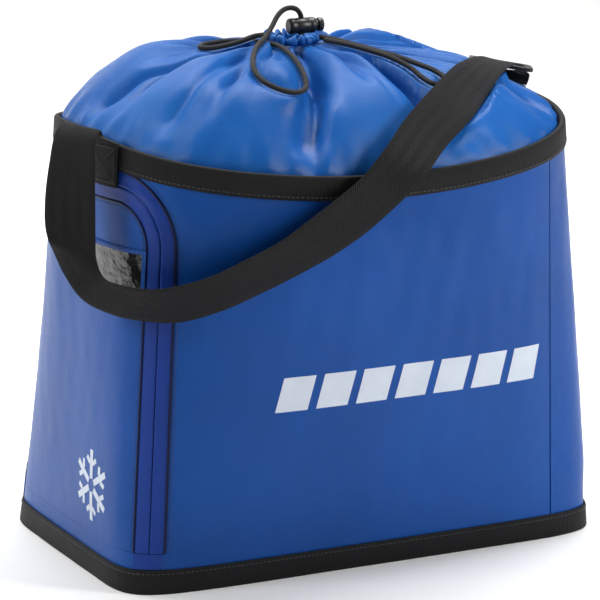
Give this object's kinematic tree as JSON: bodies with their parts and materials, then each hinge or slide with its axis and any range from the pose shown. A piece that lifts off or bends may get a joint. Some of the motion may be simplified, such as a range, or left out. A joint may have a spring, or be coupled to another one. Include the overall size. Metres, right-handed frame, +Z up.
{
  "type": "ski boot bag",
  "caption": "Square soft-sided ski boot bag with a zipped door in one end, a drawcord collar with a barrel lock, and a webbing shoulder strap.",
  "frame": {"origin": "on the floor, under the middle of the bag's rectangular base", "axes": "+Z up, the long front face towards -Y, the zipped end towards -X; X runs along the bag and Y across it"},
  "size_m": [0.4414, 0.294, 0.4068],
  "materials": {
    "tarpaulin": "coated polyester with a soft sheen and fine wrinkles",
    "collar_nylon": "thin coated ripstop nylon, satin",
    "zip_tape": "woven polyester zip tape",
    "zip_coil": "moulded nylon coil teeth",
    "webbing": "woven polyester webbing, twill weave",
    "binding": "ribbed grosgrain tape and coated fabric",
    "foam": "closed-cell foam sheet",
    "lining": "plain woven lining",
    "board": "rolled plastic board",
    "black_plastic": "moulded acetal, fine matt texture",
    "clear_film": "smoked clear film, glossy",
    "card": "plain card",
    "cord": "braided cord",
    "steel": "bright drawn wire",
    "gunmetal": "die-cast, dark plated",
    "pull_rubber": "moulded soft rubber"
  },
  "bodies": {
    "bag": {"base_sheet": "binding", "base_board": "board", "floor_lining": "lining", "base_band": "binding", "front_panel": "tarpaulin", "far_end_panel": "tarpaulin", "back_panel": "tarpaulin", "arch_panel": "tarpaulin", "door_sill": "tarpaulin", "front_foam": "foam", "far_end_foam": "foam", "back_foam": "foam", "lining": "lining", "rim_binding": "binding", "collar": "collar_nylon", "drawcord_casing": "collar_nylon", "zip_tape_shell": "zip_tape", "zip_coil_shell": "zip_coil", "zip_end_patch_front": "zip_tape", "zip_end_patch_rear": "zip_tape", "drawcord_loop": "cord", "drawcord_run": "cord", "strap_tab_left": "webbing", "strap_tab_right": "webbing", "adjuster_lead": "webbing", "strap_adjuster": "black_plastic"},
    "door": {"door_panel": "tarpaulin", "door_foam": "foam", "door_lining": "lining", "zip_tape_door": "zip_tape", "zip_coil_door": "zip_coil", "name_card": "card", "card_window": "clear_film"},
    "slider": {"zip_slider": "gunmetal"},
    "ring": {"pull_ring": "steel"},
    "pull": {"pull_tab": "pull_rubber"},
    "lock": {"lock_barrel": "black_plastic", "lock_spring": "steel"},
    "plunger": {"lock_plunger": "black_plastic"},
    "strap": {"shoulder_strap": "webbing"}
  },
  "joints": [
    {"name": "door_fold", "type": "hinge", "parent": "bag", "child": "door", "pos_m": [-0.199, 0, 0.03085], "axis": [0, -1, 0], "range_deg": [0, 95], "deforming": ["shoulder_strap"]},
    {"name": "slider_run", "type": "slide", "parent": "bag", "child": "slider", "axis": [0.1063, -0.0964, 0.9897], "range_m": [0, 0.18]},
    {"name": "ring_swing", "type": "hinge", "parent": "slider", "child": "ring", "pos_m": [-0.1796, 0.11769, 0.04376], "axis": [0.8789, 0.4746, -0.0481], "range_deg": [0, 110]},
    {"name": "tab_swing", "type": "hinge", "parent": "ring", "child": "pull", "pos_m": [-0.18071, 0.11869, 0.03347], "axis": [0.8789, 0.4746, -0.0481], "range_deg": [0, 60]},
    {"name": "lock_turn", "type": "hinge", "parent": "bag", "child": "lock", "pos_m": [-0.001, 0, 0.391], "axis": [0, 0, 1], "range_deg": [-30, 30]},
    {"name": "plunger_press", "type": "slide", "parent": "lock", "child": "plunger", "axis": [-1, 0, 0], "range_m": [0, 0.002], "stiffness_N_per_m": 200, "springref_m": -0.004, "deforming": ["lock_spring"]},
    {"name": "strap_swing", "type": "hinge", "parent": "bag", "child": "strap", "pos_m": [-0.197, -0.057, 0.336], "axis": [-0.9887, -0.1435, -0.0425], "range_deg": [0, 140], "deforming": ["shoulder_strap"]}
  ]
}
